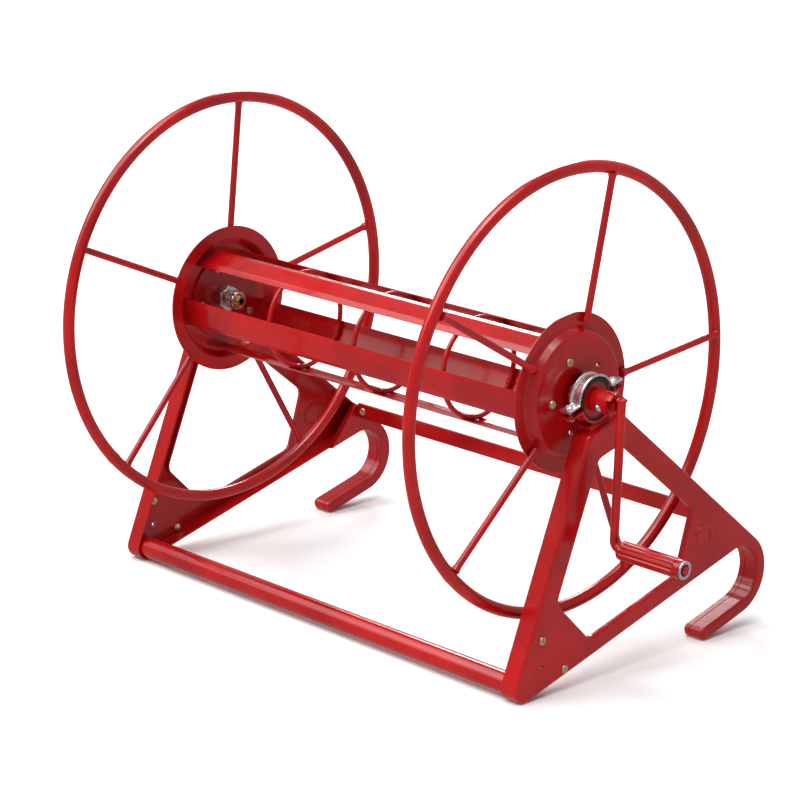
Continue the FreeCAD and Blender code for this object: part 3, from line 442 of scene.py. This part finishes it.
def makeStrap(name, side):
    # section loop (x, thickness) carried along the strap path; near its ends it rises by the lip
    low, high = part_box("bearing_clamp_" + name)
    width = (high[0] - low[0]) / 2
    path = strapPath()
    ahead = np.gradient(path, axis=0)
    ahead /= np.linalg.norm(ahead, axis=1)[:, None]
    normal = np.stack([ahead[:, 1], -ahead[:, 0]], axis=1)
    half = strapShape["half"]
    inner = width - half
    flatRun = np.linspace(-inner, inner, 26)
    t = np.linspace(math.pi / 2, -math.pi / 2, 7)[1:-1]
    xs = np.concatenate([flatRun, inner + half * np.cos(t), flatRun[::-1], -inner - half * np.cos(t)])
    ns = np.concatenate([0 * flatRun + half, half * np.sin(t), 0 * flatRun - half, -half * np.sin(t)])
    edge = inner - np.abs(xs)
    lip = strapShape["lip"] * np.clip(1 - edge / strapShape["lipWidth"], 0, 1) ** 0.7
    span = np.hypot(path[:, 0], path[:, 1])
    onArch = np.clip((strapShape["middle"] + 0.003 - span) / 0.003, 0, 1)
    offset = ns[None, :] + lip[None, :] * onArch[:, None]
    uv = path[:, None, :] + offset[..., None] * normal[:, None, :]
    x = (low[0] + high[0]) / 2 + xs
    grid = (np.array([0, axle[1], axle[2]]) + x[None, :, None] * alongX
            + uv[..., :1] * leanU + uv[..., 1:] * leanV)
    ends = [row.mean(axis=1, keepdims=True) + 0 * row for row in (grid[:1], grid[-1:])]
    grid = np.concatenate([ends[0], grid, ends[1]])
    makePiece("strap." + name, "stand", "bright_zinc", [(grid, False, True)], ["bearing_clamp_" + name])


# Screws with a cross recess, and hexagon nuts; screw lengths are under the head.
screwShape = {"head": 0.0048, "cap": 0.0026, "shank": 0.0024, "recess": 0.0021, "recessArm": 0.0033,
              "recessHalf": 0.00085, "soft": 0.00018}
nutShape = {"across": 0.00425, "height": 0.0036, "bore": 0.0024}
frameShape = {"spots": [(-0.1496, -0.2238), (-0.1239, -0.2748)], "long": 0.0105, "nutDeep": 0.0045}
barShape = {"long": 0.012}
discShape = {"circle": 0.0425, "phase": 42.0, "long": 0.0116}
clampShape = {"spots": (-0.0362, 0.0362), "ear": 0.0055, "long": 0.0166}


def screwGrid(spot, axis, length):
    # domed disc with a sunk cross, then the rim, the underside, the shank and its tip
    head, cap, shank = screwShape["head"], screwShape["cap"], screwShape["shank"]
    r = np.linspace(0, head * 0.97, 20)
    rise = cap * (1 - 0.42 * (r / head) ** 4)
    below = np.array([[head, 0.42 * cap], [head, 0.12 * cap], [head * 0.96, 0.0], [shank, 0.0],
                      [shank, 0.0008 - length], [0.7 * shank, -length], [0, -length]])
    radius = np.concatenate([r, below[:, 0]])
    along = np.concatenate([rise, below[:, 1]])
    a = angles(40)
    p, q = np.abs(radius[:, None] * np.cos(a)), np.abs(radius[:, None] * np.sin(a))
    soft = screwShape["soft"]

    def slot(wide, far):
        inWidth = 1 / (1 + np.exp((wide - screwShape["recessHalf"]) / soft))
        inReach = 1 / (1 + np.exp((far - screwShape["recessArm"]) / soft))
        return inWidth * inReach

    sunk = screwShape["recess"] * np.maximum(slot(p, q), slot(q, p))
    sunk[20:] = 0
    return turned(spot, axis, along[:, None] - sunk, radius, 40)


def nutGrid(spot, axis, across=None, height=None, bore=None, cols=48):
    # rows run up the bore and back down the outside; the corners are cut by a cone
    across = across or nutShape["across"]
    height = height or nutShape["height"]
    bore = bore or nutShape["bore"]
    full = hexRadius(across, cols)
    cuts = [0.97, 1.03, 1.09, 1.16]
    levels = [0.0, 0.02, 0.06, 0.12]
    rows = [np.full(cols, bore)] + [np.minimum(full, across * c) for c in cuts]
    rows += [np.minimum(full, across * c) for c in cuts[::-1]] + [np.full(cols, bore)]
    along = np.array([0] + levels + [1 - k for k in levels[::-1]] + [1]) * height
    return turned(spot, axis, along, np.stack(rows), cols)


def makeFasteners():
    plateFace = reach("side_plate_right", 1)
    screws, nuts = [], []
    for side in sides.values():
        for u, v in frameShape["spots"]:
            front = offAxle(side * plateFace, u, v)
            back = offAxle(side * (plateFace - frameShape["nutDeep"]), u, v)
            screws.append((screwGrid(front, side * alongX, frameShape["long"]), False, True))
            nuts.append((nutGrid(back, -side * alongX), True, True))
    makePiece("frameScrews", "stand", "yellow_zinc", screws, ["frame_screws"])
    makePiece("frameNuts", "stand", "yellow_zinc", nuts, ["frame_nuts"])

    low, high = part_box("crossbar_screws")
    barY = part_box("rear_crossbar")[0][1]
    barZ = mid("rear_crossbar")[2]
    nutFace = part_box("crossbar_nuts")[0][1]
    screws, nuts = [], []
    for x in (low[0] + screwShape["head"], high[0] - screwShape["head"]):
        screws.append((screwGrid(np.array([x, barY, barZ]), -backY, barShape["long"]), False, True))
        nuts.append((nutGrid(np.array([x, nutFace, barZ]), backY), True, True))
    makePiece("crossbarScrews", "stand", "yellow_zinc", screws, ["crossbar_screws"])
    makePiece("crossbarNuts", "stand", "yellow_zinc", nuts, ["crossbar_nuts"])

    discFace = reach("disc_right", 1)
    nutIn = axle[0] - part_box("disc_nuts")[0][0] - nutShape["height"]
    screws, nuts = [], []
    for side in sides.values():
        for k in (1, 2, 4):
            a = math.radians(discShape["phase"] + 72 * k)
            out = discShape["circle"] * np.array([0.0, math.cos(a), math.sin(a)])
            front, back = (axle + side * x * alongX + out for x in (discFace, nutIn))
            screws.append((screwGrid(front, side * alongX, discShape["long"]), False, True))
            nuts.append((nutGrid(back, -side * alongX), True, True))
    makePiece("discScrews", "drum", "yellow_zinc", screws, ["disc_screws"])
    makePiece("discNuts", "drum", "yellow_zinc", nuts, ["disc_nuts"])

    screws, nuts = [], []
    for name in sides:
        x = mid("bearing_clamp_" + name)[0] - axle[0]
        for u in clampShape["spots"]:
            top, under = offAxle(x, u, clampShape["ear"]), offAxle(x, u, -clampShape["ear"])
            screws.append((screwGrid(top, leanV, clampShape["long"]), False, True))
            nuts.append((nutGrid(under, -leanV), True, True))
    makePiece("clampScrews", "stand", "bright_zinc", screws, ["clamp_screws"])
    makePiece("clampNuts", "stand", "bright_zinc", nuts, ["clamp_nuts"])


# Crank: riveted cross pin, fluted sleeve, end ring.
pinShape = {"tilt": math.radians(26.0), "head": 0.0046, "dome": 0.0024, "shaft": 0.0029, "hub": 0.013}
gripShape = {"radius": 0.0110, "flutes": 12, "depth": 0.0015, "plainStart": 0.003, "plainEnd": 0.0075,
             "fade": 0.003, "recess": 0.0068, "recessDeep": 0.005, "bore": 0.00508, "round": 0.0009}


def makePin():
    # two domes joined by a shaft: each dome is a quarter ellipse turned about the pin
    t = np.linspace(0, 1, 8) * math.pi / 2
    domeR, domeH = pinShape["head"] * np.sin(t), pinShape["dome"] * np.cos(t)
    face = pinShape["hub"]
    radius = np.concatenate([domeR, [pinShape["shaft"]], [pinShape["shaft"]], domeR[::-1]])
    along = np.concatenate([face + domeH, [face], [-face], -face - domeH[::-1]])
    axis = np.array([0.0, -math.cos(pinShape["tilt"]), -math.sin(pinShape["tilt"])])
    grid = turned(mid("crank_pin"), axis, along, radius, 32)
    makePiece("crossPin", "drum", "bright_zinc", [(grid, False, True)], ["crank_pin"])


def makeGrip():
    # outside radius = radius - depth * rounded wave of the turn, faded out at both ends
    low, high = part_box("grip_sleeve")
    length = high[0] - low[0]
    centre = np.array([low[0], *mid("grip_sleeve")[1:]])
    g = gripShape
    s = np.concatenate([
        [0, g["round"] * 0.4, g["round"]], np.linspace(0.002, 0.008, 8),
        np.linspace(0.012, length - 0.016, 10), np.linspace(length - 0.012, length - 0.002, 12),
        [length - g["round"], length - 0.4 * g["round"], length]])
    a = angles(144)
    wave = np.clip(0.55 + 0.65 * np.cos(g["flutes"] * a), 0, 1) ** 1.5
    fadeIn = np.clip((s - g["plainStart"]) / g["fade"], 0, 1)
    fade = fadeIn * np.clip((length - g["plainEnd"] - s) / g["fade"], 0, 1)
    edge = np.clip(np.minimum(s, length - s) / g["round"], 0, 1)
    outer = g["radius"] - g["round"] * (1 - np.sqrt(1 - (1 - edge) ** 2))
    outside = outer[:, None] - g["depth"] * fade[:, None] * wave[None]
    inner = np.array([g["recess"], g["recess"], g["bore"], g["bore"]])[:, None] + 0 * a
    along = np.concatenate([s, [length, length - g["recessDeep"], length - g["recessDeep"], 0]])
    grid = turned(centre, alongX, along, np.concatenate([outside, inner]), 144)
    makePiece("gripSleeve", "grip", "grip_coat", [(grid, True, True)], ["grip_sleeve"])

    low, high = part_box("grip_washer")
    thick, outerR = high[0] - low[0], (high[1] - low[1]) / 2
    t = angles(20)
    middle, halfWide = (outerR + g["recess"]) / 2, (outerR - g["recess"]) / 2
    square = 1 / np.maximum(np.abs(np.cos(t)), np.abs(np.sin(t))) ** 0.6
    radius = middle + halfWide * np.clip(np.cos(t) * square, -1, 1)
    along = thick / 2 + thick / 2 * np.clip(np.sin(t) * square, -1, 1)
    ringGrid = turned(np.array([low[0], *centre[1:]]), alongX, along, radius, 64)
    makePiece("gripRing", "grip", "bright_zinc", [(ringGrid, True, True)], ["grip_washer"])


# Hose fittings inside the drum and the swivel outside it.
fitShape = {"nutAcross": 0.0143, "nutHigh": 0.009, "nutBore": 0.007, "ring": 0.0115, "ringBore": 0.0086,
            "hexAcross": 0.0078, "pipe": 0.0069, "bore": 0.004, "thread": 0.0005, "pitch": 0.0016}


def makeFittings():
    f = fitShape
    start = np.array([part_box("nipple_nut")[0][0], axle[1], axle[2]])
    grid = nutGrid(start, alongX, f["nutAcross"], f["nutHigh"], f["nutBore"], 96)
    makePiece("nippleNut", "drum", "bright_zinc", [(grid, True, True)], ["nipple_nut"])

    low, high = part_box("lock_ring")
    length = high[0] - low[0]
    along = np.array([0, 0.1, 0.45, 0.5, 0.55, 0.9, 1, 1, 0]) * length
    hollow = f["ringBore"] / f["ring"]
    radius = np.array([0.94, 1, 1, 0.93, 1, 1, 0.94, hollow, hollow]) * f["ring"]
    grid = turned(np.array([low[0], axle[1], axle[2]]), alongX, along, radius, 64)
    makePiece("lockRing", "drum", "bright_zinc", [(grid, True, True)], ["lock_ring"])

    # pipe with a hexagon and a threaded end: radius = pipe + thread * sine of the run over the pitch
    cols = 72
    s = np.concatenate([
        [0, 0.0139], [0.014, 0.0146, 0.0214, 0.022], np.linspace(0.0222, 0.0302, 42), [0.031, 0.031, 0]])
    rows = np.full((len(s), cols), f["pipe"])
    full = hexRadius(f["hexAcross"], cols)
    for row, cap in ((2, 1.0), (3, 1.12), (4, 1.12), (5, 1.0)):
        rows[row] = np.minimum(full, f["hexAcross"] * cap)
    rows[6:48] += f["thread"] * np.sin(s[6:48] / f["pitch"] * fullTurn)[:, None]
    rows[48] = f["pipe"] - 0.0006
    rows[49:] = f["bore"]
    grid = turned(start, alongX, s, rows, cols)
    makePiece("hoseNipple", "drum", "brass", [(grid, True, True)], ["outlet_nipple"])


swivelShape = {"body": 0.015, "leg": 0.009, "round": 0.002, "grooves": 2, "grooveDeep": 0.0011,
               "legLong": 0.040, "collar": 0.0035, "nutAcross": 0.0121, "nutBore": 0.0089}


def makeSwivel():
    # body: a rounded drum with two shallow grooves; leg: a rod with a collar under it
    w = swivelShape
    low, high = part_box("inlet_swivel")
    length = high[0] - low[0]
    s = np.concatenate([
        np.linspace(0, w["round"], 7), np.linspace(w["round"] + 0.001, length - w["round"] - 0.001, 60),
        np.linspace(length - w["round"], length, 7)])
    edge = np.clip(np.minimum(s, length - s) / w["round"], 0, 1)
    radius = w["body"] - w["round"] * (1 - np.sqrt(1 - (1 - edge) ** 2))
    for k in range(w["grooves"]):
        radius = radius - w["grooveDeep"] * swell(s - (0.007 + 0.006 * k), 0.0012)
    s = np.concatenate([[0], s, [length]])
    radius = np.concatenate([[0], radius, [0]])
    body = turned(np.array([high[0], axle[1], axle[2]]), -alongX, s, radius, 64)
    legX = mid("inlet_tail")[0]
    t = np.linspace(0, w["legLong"], 40)
    legR = w["leg"] + w["collar"] * swell(t - 0.0135, 0.004)
    leg = turned(np.array([legX, axle[1], axle[2]]), -upZ, np.concatenate([[0], t, [w["legLong"]]]),
                 np.concatenate([[0], legR, [0]]), 48)
    shells = [(body, False, True), (leg, False, True)]
    makePiece("swivelBody", "inlet", "brass", shells, ["inlet_swivel"])
    low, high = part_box("inlet_nut")
    top = np.array([legX, axle[1], high[2]])
    grid = nutGrid(top, -upZ, w["nutAcross"], high[2] - low[2], w["nutBore"], 96)
    makePiece("swivelNut", "inlet", "bright_zinc", [(grid, True, True)], ["inlet_nut"])


# Plain raised ring pressed into each side plate, and weld beads.
ringMark = {"u": 0.130, "v": -0.238, "radius": 0.0125, "wire": 0.0022, "rise": 0.0014, "sheet": 0.002}
weldShape = {"plate": 0.0025, "tube": 0.0132, "tubeBead": 0.0019, "seatHalf": 0.019, "seatV": -0.0296,
             "seatBead": 0.0018, "neck": 0.0147, "neckBead": 0.0017, "crown": 0.0046, "crownBead": 0.0016,
             "crownSink": 0.0004, "rodHalf": 0.005, "seatIn": 0.0022}


def pressedRing(x):
    # flattened ring: height over the plate follows a half circle across its width
    a, b = np.meshgrid(angles(72), angles(12), indexing="ij")
    out = ringMark["radius"] + ringMark["wire"] * np.cos(b)
    centre = offAxle(x, ringMark["u"], ringMark["v"])
    spin = np.cos(a)[..., None] * leanU + np.sin(a)[..., None] * leanV
    return centre + out[..., None] * spin + (ringMark["rise"] * np.sin(b))[..., None] * alongX


def makePressedRings():
    for name, side in sides.items():
        face = reach("side_plate_" + name, side)
        shells = [(pressedRing(side * x), True, True) for x in (face, face - ringMark["sheet"])]
        makePiece("pressedRing." + name, "stand", "red_coat", shells)


def makeWelds():
    w = weldShape
    for name, side in sides.items():
        shells = []
        tube = (mid("front_tube") - axle)[1:]
        tubeU, tubeV = tube @ leanU[1:], tube @ leanV[1:]
        a = np.linspace(0, fullTurn, 120)
        inner = side * (reach("tube_bracket_" + name, side) - w["plate"])
        spin = np.cos(a)[:, None] * leanU + np.sin(a)[:, None] * leanV
        path = offAxle(inner, tubeU, tubeV) + w["tube"] * spin
        shells.append((bead(path, w["tubeBead"], alongX), False, True))
        seatLow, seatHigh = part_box("bearing_seat_" + name)
        for x in (seatLow[0] + w["seatIn"] - axle[0], seatHigh[0] - axle[0]):
            if abs(x) > abs(mid("bearing_seat_" + name)[0] - axle[0]):
                path = straight(*(offAxle(x, u, w["seatV"]) for u in (-w["seatHalf"], w["seatHalf"])), 60)
                shells.append((bead(path, w["seatBead"], alongX), False, True))
        makePiece("frameWeld." + name, "stand", "red_coat", shells)

    shells = []
    for name, side in sides.items():
        face = side * reach("disc_" + name, side)
        a = np.linspace(0, fullTurn, 100)
        spin = np.cos(a)[:, None] * backY + np.sin(a)[:, None] * upZ
        shells.append((bead(axle + face * alongX + w["neck"] * spin, w["neckBead"], alongX), False, True))
    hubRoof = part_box("crank_arm")[1][2]
    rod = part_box("crank_arm")[0][0] + w["rodHalf"]
    a = np.linspace(0, fullTurn, 60)
    spin = np.cos(a)[:, None] * alongX + np.sin(a)[:, None] * backY
    crown = np.array([rod, axle[1], hubRoof - w["crownSink"]]) + w["crown"] * spin
    shells.append((bead(crown, w["crownBead"], upZ), False, True))
    makePiece("drumWeld", "drum", "red_coat", shells)


for name, side in sides.items():
    makeRim(name, side)
    makeSpokes(name, side)
    makeStrap(name, side)
makeHoops()
print("wire and straps made")
makeFasteners()
makePin()
makeGrip()
makeFittings()
makeSwivel()
print("fasteners, crank and fittings made")
makePressedRings()
makeWelds()
print("marks and welds made")

stage = {
    "floorSize": 40.0,  # metres
    "floorTone": 0.93,
    "floorRough": 0.9,
    "skyTone": 0.34,
    "suns": (  # name, power, spread and turn in degrees
        ("keyLight", 2.7, 70.0, (18, -12, 0)),
        ("sideLight", 0.7, 40.0, (52, 0, -35))),
    "panelPower": 34.0,
    "panelSize": 0.9,
    "panels": (("backPanel", (-2.0, 2.2, 1.7), 1.0), ("topPanel", (0.4, -0.4, 2.6), 0.6)),
}


def makeFloor():
    half = stage["floorSize"] / 2
    mesh = bpy.data.meshes.new("floor")
    corners = [(-half, -half, 0), (half, -half, 0), (half, half, 0), (-half, half, 0)]
    mesh.from_pydata(corners, [], [(0, 1, 2, 3)])
    floor = bpy.data.objects.new("floor", mesh)
    scene.collection.objects.link(floor)
    floor.location.z = cadLow.z - 0.0002
    tone = (stage["floorTone"],) * 3 + (1,)
    paint = newMaterial("floorPaint", lambda: {"Base Color": tone, "Roughness": stage["floorRough"]})
    floor.data.materials.append(paint)
    floor.visible_glossy = False  # keeps the paint's reflections dark


def makeLight():
    world = bpy.data.worlds.new("studio")
    world.use_nodes = True
    Wire.tree = world.node_tree
    sky = Wire.tree.nodes["Background"]
    sky.inputs["Color"].default_value = (stage["skyTone"],) * 3 + (1,)
    white = Wire.node("ShaderNodeBackground", Color=(1, 1, 1, 1))
    seen = Wire.node("ShaderNodeLightPath")  # 1 where the camera sees the sky itself
    mixed = Wire.node("ShaderNodeMixShader", Fac=seen, i1=Wire(sky.outputs[0]), i2=white)
    Wire.join(Wire.tree.nodes["World Output"].inputs["Surface"], mixed)
    scene.world = world
    for name, power, spread, turn in stage["suns"]:
        sun = bpy.data.lights.new(name, "SUN")
        sun.energy = power
        sun.angle = math.radians(spread)
        lamp = bpy.data.objects.new(name, sun)
        lamp.rotation_euler = [math.radians(a) for a in turn]
        scene.collection.objects.link(lamp)
    for name, offset, share in stage["panels"]:
        panel = bpy.data.lights.new(name, "AREA")
        panel.size = stage["panelSize"]
        panel.energy = stage["panelPower"] * share
        lamp = bpy.data.objects.new(name, panel)
        lamp.location = Vector(axle) + Vector(offset)
        lamp.rotation_euler = (-Vector(offset)).to_track_quat("-Z", "Y").to_euler()
        scene.collection.objects.link(lamp)


cameraPlace = {
    "fromAxle": (2.2267, -2.2310, 0.7904),  # metres, beside the middle of the drum
    "heading": 134.68,  # degrees from +X towards +Y
    "dip": 15.254,
    "roll": 1.871,
    "lens": 125.48,
}


def makeCamera():
    heading, dip, roll = (math.radians(cameraPlace[k]) for k in ("heading", "dip", "roll"))
    flat = math.cos(dip)
    ahead = Vector((math.cos(heading) * flat, math.sin(heading) * flat, -math.sin(dip)))
    level = ahead.cross(Vector((0, 0, 1))).normalized()
    above = level.cross(ahead)
    right = level * math.cos(roll) + above * math.sin(roll)
    up = above * math.cos(roll) - level * math.sin(roll)
    lens = bpy.data.cameras.new("camera")
    lens.lens = cameraPlace["lens"]
    camera = bpy.data.objects.new("camera", lens)
    turn = Matrix((right, up, -ahead)).transposed().to_4x4()
    place = Vector(axle) + Vector(cameraPlace["fromAxle"])
    camera.matrix_world = Matrix.Translation(place) @ turn
    scene.collection.objects.link(camera)
    scene.camera = camera


makeFloor()
makeLight()
makeCamera()
scene.view_settings.view_transform = "Standard"
print("stage set")
